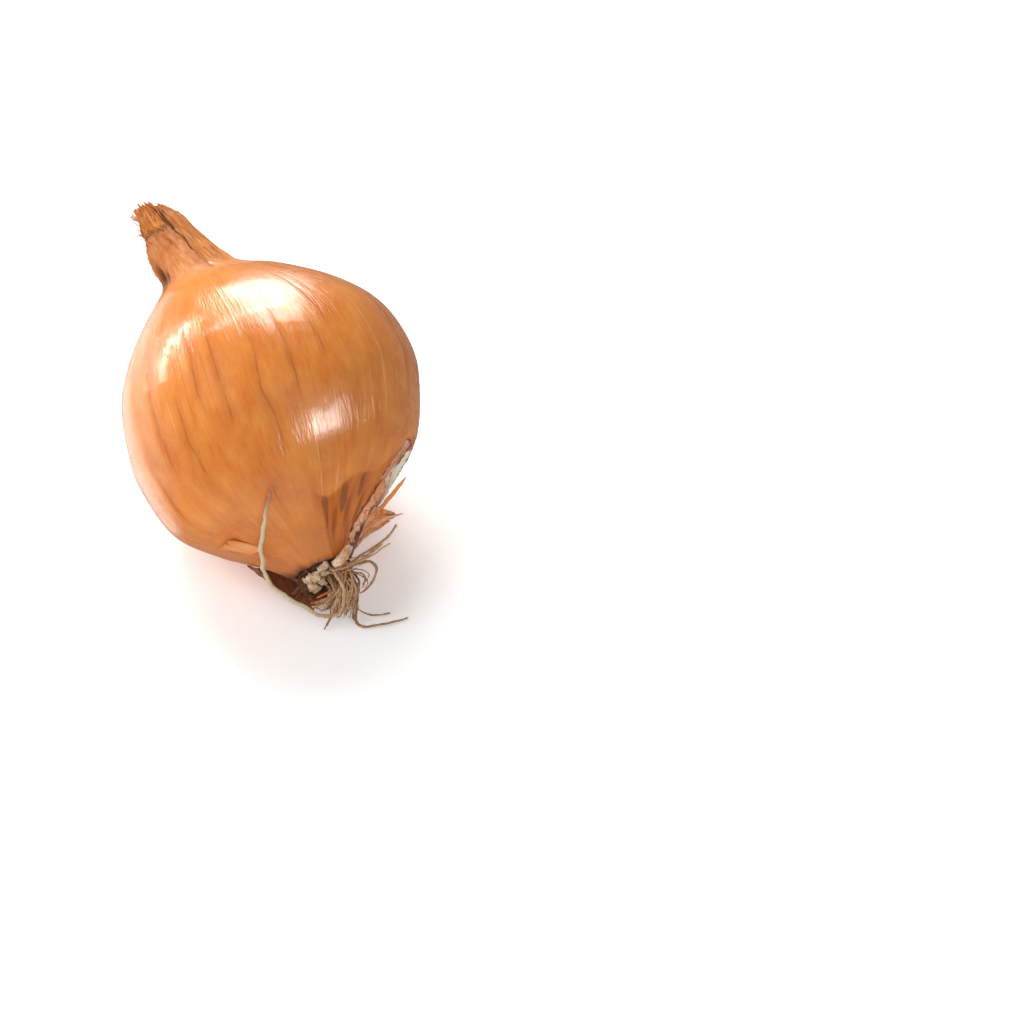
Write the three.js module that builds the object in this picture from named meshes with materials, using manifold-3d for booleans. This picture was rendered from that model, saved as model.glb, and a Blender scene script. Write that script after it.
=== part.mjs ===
// A brown onion in its papery skin, lying on its side as it comes to rest on a table: the bulb with its neck, the
// dry leaf sheaths round the neck, torn flaps of skin at the root end, the corky root plate and the dried roots.
// Millimetres, +Z up. The origin is the middle of the small flat spot that the bulb rests on.
import * as THREE from "three";
import { mergeVertices } from "three/addons/utils/BufferGeometryUtils.js";
import Module from "manifold-3d";

const wasm = await Module();
wasm.setup();

// ---- Driving dimensions, in millimetres and degrees ----
const BELLY_RADIUS = 37.2; // half the widest breadth of the bulb
const BULB_LENGTH = 86; // from the root plate to where the neck starts
const NECK_LENGTH = 19;
const BELLY_SHIFT = 4.1; // the belly stands this far to one side of the line between the two ends
const NECK_DRIFT = 6.5; // the neck tip leans this far to the other side
const PLATE_RADIUS = 6.6;
const PLATE_DEPTH = 3.2;
const GAP = 0.3; // air left between pieces that touch

// How the onion lies: leaned back from upright, turned to one side and spun about its own axis.
const LEAN = 58;
const TURN = 27;
const SPIN = -21;
const PLATE_PLACE = new THREE.Vector3(15.35, -34.02, 11.9); // the root plate's middle above the table

const degrees = THREE.MathUtils.degToRad;

const skin = new THREE.MeshStandardMaterial({ color: 0xd98545, roughness: 0.35 });
const drySheath = new THREE.MeshStandardMaterial({ color: 0xc47a45, roughness: 0.7 });
const brownSkin = new THREE.MeshStandardMaterial({ color: 0x7a4228, roughness: 0.6 });
const cork = new THREE.MeshStandardMaterial({ color: 0x6b4a30, roughness: 0.9 });
const rootStub = new THREE.MeshStandardMaterial({ color: 0xcdb894, roughness: 0.8 });
const dryRoot = new THREE.MeshStandardMaterial({ color: 0xa58a68, roughness: 0.85 });

// ---- The bulb's own frame: +Z from the root plate's middle towards the neck ----
const onion = new THREE.Group();
const turned = new THREE.Group();
const leaned = new THREE.Group();
const bulbFrame = new THREE.Group();
turned.position.copy(PLATE_PLACE);
turned.rotation.z = degrees(TURN);
leaned.rotation.x = degrees(-LEAN);
bulbFrame.rotation.z = degrees(SPIN);
onion.add(turned);
turned.add(leaned);
leaned.add(bulbFrame);
onion.updateMatrixWorld(true);

function addMesh(parent, name, geometry, material) {
  const mesh = new THREE.Mesh(geometry, material);
  mesh.name = name;
  parent.add(mesh);
  return mesh;
}

// ---- Joining and cutting ----
function solidOf(geometry) {
  const bare = geometry.clone();
  bare.deleteAttribute("normal");
  bare.deleteAttribute("uv");
  const merged = mergeVertices(bare, 1e-4);
  return new wasm.Manifold(
    new wasm.Mesh({
      numProp: 3,
      vertProperties: merged.attributes.position.array,
      triVerts: new Uint32Array(merged.index.array),
    }),
  );
}

function geometryOf(solid) {
  const mesh = solid.getMesh();
  return new THREE.BufferGeometry()
    .setAttribute("position", new THREE.BufferAttribute(mesh.vertProperties, 3))
    .setIndex(new THREE.BufferAttribute(mesh.triVerts, 1));
}

// ---- Outline of the bulb and its neck ----
// Each point is a share of the belly radius and a share of the bulb length, from the root plate to the neck tip.
const OUTLINE = [
  [0.14, 0.022],
  [0.2, 0.037],
  [0.371, 0.109],
  [0.621, 0.19],
  [0.858, 0.293],
  [0.981, 0.442],
  [1, 0.547],
  [0.927, 0.685],
  [0.753, 0.793],
  [0.487, 0.898],
  [0.28, 0.955],
  [0.208, 0.995],
  [0.152, 1.05],
  [0.128, 1.1],
  [0.1, 1.16],
  [0.065, 1.205],
];
const OUTLINE_STEPS = 42;
const ROUND_STEPS = 48;
const outline = new THREE.SplineCurve(
  OUTLINE.map(([across, along]) => new THREE.Vector2(across * BELLY_RADIUS, along * BULB_LENGTH)),
).getPoints(OUTLINE_STEPS);

function radiusAt(height) {
  const above = outline.findIndex((point) => point.y >= height);
  if (above === 0) return outline[0].x;
  if (above < 0) return outline[outline.length - 1].x;
  const [low, high] = [outline[above - 1], outline[above]];
  return THREE.MathUtils.mapLinear(height, low.y, high.y, low.x, high.x);
}

// How far the middle of a level stands to the side, along +X.
function sidewaysAt(height) {
  const belly = THREE.MathUtils.clamp(height / BULB_LENGTH, 0, 1);
  const neck = Math.max(0, height - BULB_LENGTH) / NECK_LENGTH;
  return BELLY_SHIFT * Math.sin(Math.PI * belly ** 1.7) - NECK_DRIFT * neck ** 1.3;
}

// The bulb is a little out of round: two broad flats and three faint lobes.
const outOfRound = (angle) =>
  1 + 0.01 * Math.cos(2 * (angle - degrees(30))) + 0.006 * Math.cos(3 * angle + degrees(40));

// A point on the bulb's surface, or lifted off it.
function onBulb(angle, height, lift = 0) {
  const reach = radiusAt(height) * outOfRound(angle) + lift;
  return new THREE.Vector3(reach * Math.cos(angle) + sidewaysAt(height), reach * Math.sin(angle), height);
}

// ---- Root plate: a corky disc that faces a little to one side of the bulb's axis ----
const PLATE_TIP = 24; // towards -Y
const PLATE_SIDE = 16; // towards +X
const PLATE_SUNK = 2.6; // above the lowest point of the bulb's outline
const plateFrame = new THREE.Group();
plateFrame.position.set(-1.4, -1, PLATE_SUNK);
plateFrame.rotation.set(degrees(-PLATE_TIP), degrees(-PLATE_SIDE), 0);
bulbFrame.add(plateFrame);
bulbFrame.updateMatrixWorld(true);

const PLATE_BULGE = 0.3;
const PLATE_FACE = PLATE_DEPTH / 2 + PLATE_BULGE; // below the plate's middle
const PLATE_CROWN = 0.6 * PLATE_RADIUS; // the face is nearly level out to here
const PLATE_RIM = 0.9 * PLATE_RADIUS; // and rounds off from here
const PLATE_STEPS = 24;

function plateGeometry() {
  const half = PLATE_DEPTH / 2;
  const profile = [
    new THREE.Vector2(0, -PLATE_FACE),
    new THREE.Vector2(PLATE_CROWN, 0.1 - PLATE_FACE),
    new THREE.Vector2(PLATE_RIM, -half + PLATE_BULGE),
    new THREE.Vector2(PLATE_RADIUS, 0),
    new THREE.Vector2(PLATE_RIM, half),
    new THREE.Vector2(0, half),
  ];
  return new THREE.LatheGeometry(profile, PLATE_STEPS).rotateX(Math.PI / 2);
}

// The hollow the plate sits in, open and widening outwards.
const SEAT_MOUTH = 1.5 * PLATE_RADIUS; // how wide it has opened well outside the bulb
const SEAT_FLOOR = 0.95 * PLATE_RADIUS + GAP;

function seatGeometry() {
  const outside = 2 * PLATE_RADIUS;
  const profile = [
    new THREE.Vector2(0, -outside),
    new THREE.Vector2(SEAT_MOUTH, -outside),
    new THREE.Vector2(PLATE_RADIUS + GAP, -PLATE_BULGE),
    new THREE.Vector2(SEAT_FLOOR, PLATE_DEPTH / 2 + GAP),
    new THREE.Vector2(0, PLATE_DEPTH / 2 + GAP),
  ];
  return new THREE.LatheGeometry(profile, PLATE_STEPS).rotateX(Math.PI / 2);
}
addMesh(plateFrame, "root_plate", plateGeometry(), cork);

// ---- Bulb: one grown body, hollowed for the root plate and pressed flat where it rests ----
const TABLE_SIZE = 200; // a block under the table plane, larger than the bulb

function bulbGeometry() {
  const profile = [
    new THREE.Vector2(0, outline[0].y),
    ...outline,
    new THREE.Vector2(0, BULB_LENGTH + NECK_LENGTH),
  ];
  const body = new THREE.LatheGeometry(profile, ROUND_STEPS).rotateX(Math.PI / 2);
  const places = body.attributes.position;
  for (let i = 0; i < places.count; i++) {
    const [x, y, z] = [places.getX(i), places.getY(i), places.getZ(i)];
    const share = outOfRound(Math.atan2(y, x));
    places.setXY(i, x * share + sidewaysAt(z), y * share);
  }
  const seat = seatGeometry().applyMatrix4(plateFrame.matrix);
  const table = new THREE.BoxGeometry(TABLE_SIZE, TABLE_SIZE, TABLE_SIZE)
    .translate(0, 0, -TABLE_SIZE / 2)
    .applyMatrix4(bulbFrame.matrixWorld.clone().invert());
  return geometryOf(solidOf(body).subtract(solidOf(seat)).subtract(solidOf(table)));
}
addMesh(bulbFrame, "bulb", bulbGeometry(), skin);

// ---- Thin curved pieces: a board whose points are placed by at(across, along, outward), each from 0 to 1 ----
function leafGeometry(acrossSteps, alongSteps, at) {
  const board = new THREE.BoxGeometry(1, 1, 1, acrossSteps, alongSteps, 1).translate(0.5, 0.5, 0.5);
  const places = board.attributes.position;
  for (let i = 0; i < places.count; i++) {
    const place = at(places.getX(i), places.getY(i), places.getZ(i));
    places.setXYZ(i, place.x, place.y, place.z);
  }
  return board;
}

// How far a torn edge falls short, from one side of the leaf to the other.
const torn = (size) => (across) => size * (0.5 + 0.3 * Math.sin(9 * across) + 0.2 * Math.sin(23 * across + 1));
const straight = () => 0;

const LEAF_GAP = 0.4; // the bulb's facets stand a little inside its round surface

// A leaf over the bulb, between two angles and two heights. Its lift off the bulb goes from the first value to the
// second, narrow makes it taper towards its far edge, and ragged shortens that edge.
function addLeaf({ name, angles, heights, lifts, thickness, material, narrow = 0, ragged = straight, steps }) {
  const geometry = leafGeometry(...steps, (across, along, outward) => {
    const share = (across - 0.5) * (1 - narrow * along) + 0.5;
    const angle = degrees(THREE.MathUtils.lerp(...angles, share));
    const height = THREE.MathUtils.lerp(heights[0], heights[1] - ragged(across), along);
    const lift = THREE.MathUtils.lerp(...lifts, along * along);
    return onBulb(angle, height, LEAF_GAP + lift + outward * thickness);
  });
  addMesh(bulbFrame, name, geometry, material);
}

// ---- Dry leaf sheaths round the neck ----
const SHEATH = { thickness: 1, material: drySheath, steps: [12, 7] };
const REAR_FALL = 7; // the rear sheath's top falls by this towards its far side
addLeaf({
  ...SHEATH,
  name: "neck_sheath_front",
  angles: [-162, -78],
  heights: [84, 95.5],
  lifts: [0, 0.8],
  ragged: torn(2),
});
addLeaf({
  ...SHEATH,
  name: "neck_sheath_rear",
  angles: [-71, 96],
  heights: [84, 102],
  lifts: [0, 0.9],
  ragged: (across) => REAR_FALL * across ** 2,
});
addLeaf({
  ...SHEATH,
  name: "neck_leaf_left",
  angles: [166, 190],
  heights: [83.5, 94],
  lifts: [0, 1.9],
  ragged: torn(2),
});

// ---- Torn flaps of skin at the root end ----
const FLAP = { thickness: 0.5, material: skin, steps: [8, 6] };
addLeaf({
  ...FLAP,
  name: "skin_flap_pointed",
  angles: [2, 20],
  heights: [12.4, 18.6],
  lifts: [0, 3.2],
  narrow: 0.9,
});
addLeaf({
  ...FLAP,
  name: "skin_flap_front",
  angles: [-50, -30],
  heights: [7.5, 15],
  lifts: [0, 1.4],
  narrow: 0.2,
  ragged: torn(1.5),
});
addLeaf({
  ...FLAP,
  name: "skin_flap_tear",
  angles: [-150, -138],
  heights: [13.5, 17.5],
  lifts: [0, 0.9],
  narrow: 0.4,
});
addLeaf({
  ...FLAP,
  name: "skin_flap_back",
  angles: [48, 84],
  heights: [6.5, 13],
  lifts: [0.2, 3],
  narrow: 0.3,
  ragged: torn(2),
});

// The pale flap that springs from the bulb beside the root plate and stands out along +X.
const SIDE_FLAP_ANGLE = -20;
const SIDE_FLAP_HEIGHT = 8.5;
const SIDE_FLAP_REACH = 9.5;
const SIDE_FLAP_WIDTH = 6;
const SIDE_FLAP_DROOP = 0.4; // its tip hangs this far lower, towards the roots
const SIDE_FLAP_TAPER = 0.7; // its two long edges draw together by this share
const SIDE_FLAP_CURL = 2; // its tip bends this far back
addMesh(
  bulbFrame,
  "skin_flap_side",
  leafGeometry(8, 8, (across, along, outward) => {
    const spread = (0.5 - across) * SIDE_FLAP_WIDTH;
    const place = onBulb(degrees(SIDE_FLAP_ANGLE), SIDE_FLAP_HEIGHT + spread, LEAF_GAP + FLAP.thickness);
    place.x += along * (SIDE_FLAP_REACH - torn(2.5)(across));
    place.z -= along * (SIDE_FLAP_DROOP + SIDE_FLAP_TAPER * spread);
    place.y += SIDE_FLAP_CURL * along * along - outward * FLAP.thickness;
    return place;
  }),
  skin,
);

// The collar of old brown skin: it leaves the bulb's underside and sweeps down past the root plate.
// Its lower rim runs through these angles, distances from the axis and heights.
const collarRim = new THREE.CatmullRomCurve3(
  [
    [112, 8.4, -2.4],
    [126, 8.8, -4],
    [142, 10.4, -3.2],
    [154, 13, 2.4],
    [168, 14, 7.2],
    [182, 14.8, 9.2],
  ].map((place) => new THREE.Vector3(...place)),
);
const COLLAR_FEET = [6.5, 11.5]; // heights where it leaves the bulb, from one end to the other
const COLLAR_BELLY = 1.8; // how far it swells out between rim and foot
addMesh(
  bulbFrame,
  "root_collar",
  leafGeometry(16, 6, (across, along, outward) => {
    const { x: turn, y: reach, z: height } = collarRim.getPoint(across);
    const angle = degrees(turn);
    const foot = onBulb(angle, THREE.MathUtils.lerp(...COLLAR_FEET, across), 2 * LEAF_GAP);
    const rim = new THREE.Vector3(reach * Math.cos(angle), reach * Math.sin(angle), height + torn(0.8)(across));
    const away = new THREE.Vector3(Math.cos(angle), Math.sin(angle), -0.3);
    const belly = COLLAR_BELLY * Math.sqrt(1 - across) * Math.sin(Math.PI * along ** 0.8);
    return rim.lerp(foot, along).addScaledVector(away, belly + outward * FLAP.thickness);
  }),
  brownSkin,
);

// ---- Cream stubs of broken roots on the upper left half of the plate ----
const stubs = [
  { across: -1.6, up: 4.6, radius: 1.3 },
  { across: -1.2, up: 1.9, radius: 1.15 },
  { across: 1, up: 5.6, radius: 0.9 },
  { across: 0.9, up: 3.2, radius: 0.95 },
  { across: -3.6, up: 2.6, radius: 1.05 },
  { across: -3, up: -0.3, radius: 0.95 },
];
const STUB_LENGTH = 0.8; // share of its radius
const STUB_FACETS = [9, 7];
stubs.forEach(({ across, up, radius }, i) => {
  const stub = new THREE.SphereGeometry(radius, ...STUB_FACETS).scale(1, 1, STUB_LENGTH);
  stub.translate(across, -up, -PLATE_FACE - GAP - STUB_LENGTH * radius);
  addMesh(plateFrame, `root_stub_${i + 1}`, stub, rootStub);
});

// ---- Dried roots: each leaves the plate at a place given across and up its face, then hangs, strays sideways or
// trails over the table along a route given from the table's frame ----
const THICK = 1.1;
const MIDDLE = 0.9;
const roots = {
  root_sprig_1: {
    thick: THICK,
    from: [5.2, 2.5],
    route: [
      [23, -30.6, 17.8],
      [27, -28, 18.8],
      [29.9, -25.3, 19.2],
      [31.8, -23.5, 21.2],
    ],
  },
  root_sprig_2: {
    thick: MIDDLE,
    from: [3.9, 2.8],
    route: [
      [22.2, -34.5, 19.4],
      [26, -32.6, 20.4],
      [29.8, -30, 21.4],
    ],
  },
  root_loop_1: {
    thick: MIDDLE,
    from: [5.8, 0.7],
    route: [
      [24, -31.5, 16.2],
      [26.4, -32.6, 14.4],
      [25.2, -34.8, 11.8],
      [22.6, -36.4, 10.6],
    ],
  },
  root_loop_2: {
    thick: MIDDLE,
    from: [3.7, 1.4],
    route: [
      [21.8, -35.2, 16.6],
      [23.8, -35.9, 15.2],
      [22.4, -37.6, 13.4],
    ],
  },
  root_table_1: {
    thick: THICK,
    from: [5, -1.3],
    route: [
      [21.4, -34.4, 10],
      [21.8, -35, 4.6],
      [21.9, -37, 1.8],
      [24, -38.4, 0.7],
      [29.4, -37.8, 0.7],
      [34.6, -35.3, 0.7],
    ],
  },
  root_table_2: {
    thick: MIDDLE,
    from: [4.2, -3.4],
    route: [
      [20.8, -32.6, 7],
      [21.4, -33.1, 3.6],
      [23.5, -34.2, 1.4],
      [26.8, -34.8, 0.6],
      [30.1, -34, 0.6],
    ],
  },
  root_hanging_1: {
    thick: THICK,
    from: [2.1, -2.4],
    route: [
      [17.9, -36.1, 9.4],
      [17.3, -36.3, 5.6],
      [16.7, -35.9, 1.8],
    ],
  },
  root_hanging_2: {
    thick: MIDDLE,
    from: [3.5, -1.2],
    route: [
      [19.9, -36.1, 11.6],
      [19.6, -36.5, 6.6],
      [18.9, -35.6, 2],
    ],
  },
  root_hanging_3: {
    thick: MIDDLE,
    from: [2.8, -4.9],
    route: [
      [18.9, -33.2, 6.4],
      [18.5, -33.2, 2.4],
    ],
  },
  root_hanging_4: {
    thick: MIDDLE,
    from: [0.2, -4],
    route: [
      [15.6, -36.6, 8],
      [14.7, -36, 5],
      [13.1, -34.4, 2.2],
    ],
  },
  root_swept_1: {
    thick: THICK,
    from: [1.9, -0.5],
    route: [
      [16.4, -37.8, 12.4],
      [13.9, -39, 10.8],
      [10.6, -39.4, 9.6],
    ],
  },
  root_swept_2: {
    thick: MIDDLE,
    from: [0.6, -2.3],
    route: [
      [15, -38.1, 9.8],
      [12.7, -38, 8],
      [10.6, -36.8, 6.2],
    ],
  },
  root_trailing: {
    thick: MIDDLE,
    from: [1.3, -5.8],
    route: [
      [16.4, -33.2, 4.6],
      [15.6, -35, 1.8],
      [14.8, -37.4, 0.8],
      [14, -39.6, 0.6],
    ],
  },
  root_strand: {
    thick: THICK,
    from: [2.6, 3.4],
    route: [
      [18.4, -38.8, 14.6],
      [18.3, -38.8, 8.4],
      [16.6, -38.6, 5],
      [13.3, -39, 5.4],
      [9.4, -39.2, 8],
      [5.4, -38.8, 11],
      [1.6, -38.2, 14],
      [-0.6, -37, 18],
      [-1.5, -37, 24],
      [-1.2, -37.8, 31],
      [-0.6, -37.9, 37],
      [0.1, -37.5, 41.8],
      [0.4, -36.9, 45],
    ],
  },
};
const ROOT_START = PLATE_FACE + 2 * GAP; // from the plate's middle plane
const ROOT_NECK = 1.4; // each root leaves the plate square to its face for this far
const ROOT_SIDES = 6;

function rootGeometry({ thick, from: [across, up], route }) {
  const start = new THREE.Vector3(across, -up, -ROOT_START);
  const path = new THREE.CatmullRomCurve3([
    start.clone().applyMatrix4(plateFrame.matrixWorld),
    start.setZ(-ROOT_START - ROOT_NECK).applyMatrix4(plateFrame.matrixWorld),
    ...route.map((place) => new THREE.Vector3(...place)),
  ]);
  const middle = new THREE.Vector2();
  const corners = Array.from({ length: ROOT_SIDES }, (_, i) =>
    new THREE.Vector2(0, thick / 2).rotateAround(middle, (2 * Math.PI * i) / ROOT_SIDES),
  );
  return new THREE.ExtrudeGeometry(new THREE.Shape(corners), {
    extrudePath: path,
    steps: 2 * route.length + 2,
    bevelEnabled: false,
  });
}
for (const [name, shape] of Object.entries(roots)) {
  addMesh(onion, name, rootGeometry(shape), dryRoot);
}

// A thick short stub of root that lies across the bulb's side above the plate.
const STOUT_RADIUS = 1.05;
const STOUT_LENGTH = 4.6; // between its round ends
const STOUT_RISE = 16; // degrees, from across the plate
const STOUT_PLACE = { across: 6.6, up: 6.3, out: 1.9 };
const stout = new THREE.CapsuleGeometry(STOUT_RADIUS, STOUT_LENGTH, 4, 8).rotateZ(degrees(90 - STOUT_RISE));
stout.translate(STOUT_PLACE.across, -STOUT_PLACE.up, -PLATE_FACE - STOUT_PLACE.out);
addMesh(plateFrame, "root_stout", stout, rootStub);

export default onion;
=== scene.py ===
import math
import random
from bisect import bisect_left
from random import uniform

import bmesh
import bpy
from mathutils import Euler, Matrix, Vector, noise


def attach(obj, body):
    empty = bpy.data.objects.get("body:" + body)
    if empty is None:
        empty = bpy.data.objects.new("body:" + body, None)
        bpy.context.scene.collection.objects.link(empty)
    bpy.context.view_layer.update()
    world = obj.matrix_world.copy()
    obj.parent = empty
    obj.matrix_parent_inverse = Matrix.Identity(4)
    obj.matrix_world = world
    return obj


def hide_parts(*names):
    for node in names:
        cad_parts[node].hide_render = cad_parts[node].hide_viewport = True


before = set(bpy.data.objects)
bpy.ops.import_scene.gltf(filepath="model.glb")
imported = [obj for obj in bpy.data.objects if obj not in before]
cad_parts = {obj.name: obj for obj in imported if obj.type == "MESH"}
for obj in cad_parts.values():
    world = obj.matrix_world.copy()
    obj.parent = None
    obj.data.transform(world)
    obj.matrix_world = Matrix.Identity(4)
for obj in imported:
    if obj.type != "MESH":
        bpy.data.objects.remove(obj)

MM = 0.001
noise.seed_set(4)  # the same noise on every run
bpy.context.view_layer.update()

# ---- The table, the camera and the studio light ----
# A white table that runs off on all sides, seen from in front and above with a short tele lens.
TABLE_SIZE = 6
CAMERA_PLACE = Vector((0.35, -443.6, 439.3)) * MM
CAMERA_DOWN = 44.286  # degrees below level
CAMERA_RIGHT = 8.03  # degrees to the right of +Y
CAMERA_ROLL = 5.626

camera_data = bpy.data.cameras.new("camera")
camera_data.lens = 85
camera_data.clip_start = 0.01
camera = bpy.data.objects.new("camera", camera_data)
camera.matrix_world = (
    Matrix.Translation(CAMERA_PLACE)
    @ Matrix.Rotation(math.radians(-CAMERA_RIGHT), 4, "Z")
    @ Matrix.Rotation(math.radians(90 - CAMERA_DOWN), 4, "X")
    @ Matrix.Rotation(math.radians(CAMERA_ROLL), 4, "Z")
)
bpy.context.collection.objects.link(camera)
bpy.context.scene.camera = camera

# Each soft box faces the onion: its bearing (degrees from +Y towards +X), height angle, distance, size,
# roll and watts. The boxes light only what is matt and the glints only what is glossy.
LIT = Vector((0, 0, 35)) * MM
SOFT_BOXES = [
    ("box_behind", -20, 46, 0.90, (0.70, 0.62), 0, 8.0),
    ("box_over_left", -105, 38, 1.00, (0.80, 0.70), 0, 6.0),
    ("box_front", 165, 50, 1.20, (0.80, 0.60), 0, 3.0),
    ("glint_behind", -1, 43, 0.85, (0.41, 0.92), 0, 17.0),
    ("glint_behind_left", -26, 47, 0.85, (0.07, 0.60), 0, 2.2),
    ("glint_left", -61, 14, 0.80, (0.085, 0.56), 32, 4.6),
    ("glint_front_right", 130, 25, 0.80, (0.30, 0.15), 20, 4.0),
    ("glint_low_left", -58, -28, 0.90, (1.10, 0.90), 0, 4.6),
    ("glint_low_front", -170, -30, 0.90, (1.30, 0.80), 0, 1.8),
]
for name, bearing, height_angle, distance, (wide, tall), roll, power in SOFT_BOXES:
    light = bpy.data.lights.new(name, "AREA")
    light.shape = "RECTANGLE"
    light.size = wide
    light.size_y = tall
    light.energy = power
    box = bpy.data.objects.new(name, light)
    away = Euler((math.radians(height_angle), 0, math.radians(-bearing))).to_matrix() @ Vector((0, 1, 0))
    box.location = LIT + away * distance
    side = (camera.matrix_world.to_3x3() @ Vector((0, 1, 0))).cross(away).normalized()
    upright = Matrix((side, away.cross(side), away)).transposed()
    box.rotation_euler = (Matrix.Rotation(math.radians(roll), 3, away) @ upright).to_euler()
    box.visible_camera = False
    box.visible_diffuse = not name.startswith("glint")
    box.visible_glossy = name.startswith("glint")
    bpy.context.collection.objects.link(box)

world = bpy.data.worlds.new("studio")
world.use_nodes = True
world.node_tree.nodes["Background"].inputs["Color"].default_value = (1, 0.99, 0.98, 1)
world.node_tree.nodes["Background"].inputs["Strength"].default_value = 0.26
bpy.context.scene.world = world
bpy.context.scene.view_settings.view_transform = "Standard"


def add_node(tree, kind, **settings):
    node = tree.nodes.new(kind)
    for key, value in settings.items():
        setattr(node, key, value)
    return node


def new_material(name, roughness, gloss=0.5, coat=0, coat_roughness=0.1):
    """A material with one Principled shader, returned with its tree."""
    material = bpy.data.materials.new(name)
    material.use_nodes = True
    shader = material.node_tree.nodes["Principled BSDF"]
    shader.inputs["Roughness"].default_value = roughness
    shader.inputs["Specular IOR Level"].default_value = gloss
    shader.inputs["Coat Weight"].default_value = coat
    shader.inputs["Coat Roughness"].default_value = coat_roughness
    return material, material.node_tree, shader


def feed(tree, socket, value):
    """Links an output to a socket, or sets the socket to a number or a colour."""
    if isinstance(value, bpy.types.NodeSocket):
        tree.links.new(value, socket)
    else:
        socket.default_value = (*value, 1) if isinstance(value, tuple) else value


def mix(tree, share, first, second):
    """A colour between two, by a share."""
    node = add_node(tree, "ShaderNodeMix", data_type="RGBA")
    for i, value in ((0, share), (6, first), (7, second)):
        feed(tree, node.inputs[i], value)
    return node.outputs[2]


def calc(tree, operation, *values, clamp=False):
    node = add_node(tree, "ShaderNodeMath", operation=operation, use_clamp=clamp)
    for socket, value in zip(node.inputs, values):
        feed(tree, socket, value)
    return node.outputs[0]


def times(tree, first, second):
    return calc(tree, "MULTIPLY", first, second)


def tint(tree, color, tone, share, strength=None):
    """The colour, drawn towards a tone by a share, at full strength or less."""
    return mix(tree, share if strength is None else times(tree, share, strength), color, tone)


def noise_value(tree, scale, detail, place=None):
    node = add_node(tree, "ShaderNodeTexNoise")
    feed(tree, node.inputs["Scale"], scale)
    node.inputs["Detail"].default_value = detail
    tree.links.new(place or add_node(tree, "ShaderNodeTexCoord").outputs["Object"], node.inputs["Vector"])
    return node.outputs["Fac"]


def step_between(tree, value, low, high):
    """0 below low, 1 above high, smooth between."""
    node = add_node(tree, "ShaderNodeMapRange", interpolation_type="SMOOTHSTEP")
    node.inputs["From Min"].default_value = low
    node.inputs["From Max"].default_value = high
    tree.links.new(value, node.inputs["Value"])
    return node.outputs["Result"]


def finish_look(tree, shader, color, relief, strength, depth):
    """Gives a material its colour and its fine relief, with the depth in mm."""
    tree.links.new(color, shader.inputs["Base Color"])
    bump = add_node(tree, "ShaderNodeBump")
    bump.inputs["Strength"].default_value = strength
    bump.inputs["Distance"].default_value = depth * MM
    tree.links.new(relief, bump.inputs["Height"])
    tree.links.new(bump.outputs["Normal"], shader.inputs["Normal"])


table_material, tree, shader = new_material("white_table", roughness=0.9)
speckle = noise_value(tree, 40, 4)
tree.links.new(mix(tree, speckle, (0.92, 0.92, 0.92), (0.95, 0.95, 0.95)), shader.inputs["Base Color"])
shader.inputs["Emission Color"].default_value = (1, 1, 1, 1)
shader.inputs["Emission Strength"].default_value = 0.22
bm = bmesh.new()
bmesh.ops.create_grid(bm, x_segments=1, y_segments=1, size=TABLE_SIZE / 2)
bmesh.ops.translate(bm, verts=bm.verts, vec=(0, 0, -0.2 * MM))
table_mesh = bpy.data.meshes.new("table")
bm.to_mesh(table_mesh)
bm.free()
table = bpy.data.objects.new("table", table_mesh)
table_mesh.materials.append(table_material)
bpy.context.collection.objects.link(table)
table.visible_glossy = False


# ---- The bulb ----
# Fleshy leaf bases grown tight round each other, closed in thin copper skins that dry from the outside
# inwards. The neck is the same skins drawn together and dried. At the root end the outer skins have split
# and show white flesh.
BELLY_RADIUS = 37.2 * MM
BULB_LENGTH = 86 * MM
NECK_LENGTH = 19 * MM
BELLY_SHIFT = 4.1 * MM  # how far the belly swells to one side
NECK_DRIFT = 5.2 * MM  # how far the neck's tip bends to the other side
PLATE_PLACE = Vector((15.35, -34.02, 11.9)) * MM
LEAN = 58  # degrees off upright
TURN = 27  # degrees about the upright
SPIN = -21  # degrees about the bulb's own axis

# The bulb's own frame has +Z from the root plate to the neck. LYING takes it to how the onion lies.
LYING = Matrix.Translation(PLATE_PLACE) @ (
    Matrix.Rotation(math.radians(TURN), 4, "Z")
    @ Matrix.Rotation(math.radians(-LEAN), 4, "X")
    @ Matrix.Rotation(math.radians(SPIN), 4, "Z")
)

# The bulb's side from the root plate to the neck's tip, in shares of the belly radius and of the bulb length.
OUTLINE = [
    (0.14, 0.022), (0.2, 0.037), (0.371, 0.109), (0.621, 0.19), (0.858, 0.293), (0.981, 0.442),
    (1, 0.547), (0.927, 0.685), (0.753, 0.793), (0.487, 0.898), (0.28, 0.955), (0.212, 0.995),
    (0.166, 1.05), (0.146, 1.1), (0.118, 1.16), (0.078, 1.205),
]


def smooth_line(points, steps):
    """A smooth line through the points, cut in equal steps of its parameter."""
    points = [Vector(p) for p in points]
    line = []
    for i in range(steps + 1):
        along = (len(points) - 1) * i / steps
        k = min(int(along), len(points) - 2)
        t = along - k
        first, second = points[k], points[k + 1]
        before, after = points[max(k - 1, 0)], points[min(k + 2, len(points) - 1)]
        start, end = (second - before) / 2, (after - first) / 2
        line.append(
            first * (2 * t**3 - 3 * t**2 + 1)
            + second * (3 * t**2 - 2 * t**3)
            + start * (t**3 - 2 * t**2 + t)
            + end * (t**3 - t**2)
        )
    return line


LEVELS = 250
outline = smooth_line([(across * BELLY_RADIUS, along * BULB_LENGTH, 0) for across, along in OUTLINE], LEVELS)
outline_heights = [p.y for p in outline]


def lumps(x, y, z):
    """Smooth random lumps, from about -1 to 1."""
    return noise.noise(Vector((x, y, z)))


def clamp(value, low=0.0, high=1.0):
    return max(low, min(high, value))


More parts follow.
